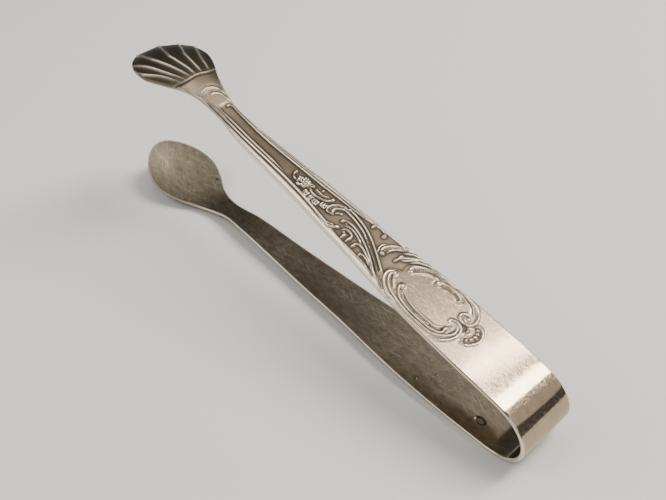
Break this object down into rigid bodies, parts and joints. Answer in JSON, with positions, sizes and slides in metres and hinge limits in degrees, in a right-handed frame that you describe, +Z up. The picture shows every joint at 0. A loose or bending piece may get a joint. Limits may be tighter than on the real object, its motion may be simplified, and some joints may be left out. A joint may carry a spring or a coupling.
{
  "type": "ice tongs",
  "caption": "Spring bow tongs with two tapering arms and fluted shell claws, squeezed to lift ice or lump sugar.",
  "frame": {"origin": "under the middle of the tongs' box, on the surface that they lie on", "axes": "+X along the tongs from the claws to the bow, +Y across the strip, +Z up, with the tongs lying on the lower arm"},
  "size_m": [0.1488, 0.0202, 0.0475],
  "materials": {
    "silver_plain": "old polished silver with fine wear scratches and light tarnish",
    "silver_relief": "die-struck silver, polished high spots, dark oxide in the recesses",
    "silver_shell": "fluted silver shell, polished ribs, dull grey-brown flutes and bowl"
  },
  "bodies": {
    "bow": {"bow_crown": "silver_plain", "bow_shoulder_upper": "silver_plain", "bow_shoulder_lower": "silver_plain"},
    "upper_arm": {"arm_upper": "silver_relief", "claw_upper": "silver_shell"},
    "lower_arm": {"arm_lower": "silver_relief", "claw_lower": "silver_shell"}
  },
  "joints": [
    {"name": "upper_arm_flex", "type": "hinge", "parent": "bow", "child": "upper_arm", "pos_m": [0.05891, 0, 0.01816], "axis": [0, -1, 0], "range_deg": [0, 6.9], "stiffness_Nm_per_rad": 6},
    {"name": "lower_arm_flex", "type": "hinge", "parent": "bow", "child": "lower_arm", "pos_m": [0.05665, 0, 0.00058], "axis": [0, 1, 0], "range_deg": [0, 6.9], "stiffness_Nm_per_rad": 6}
  ]
}
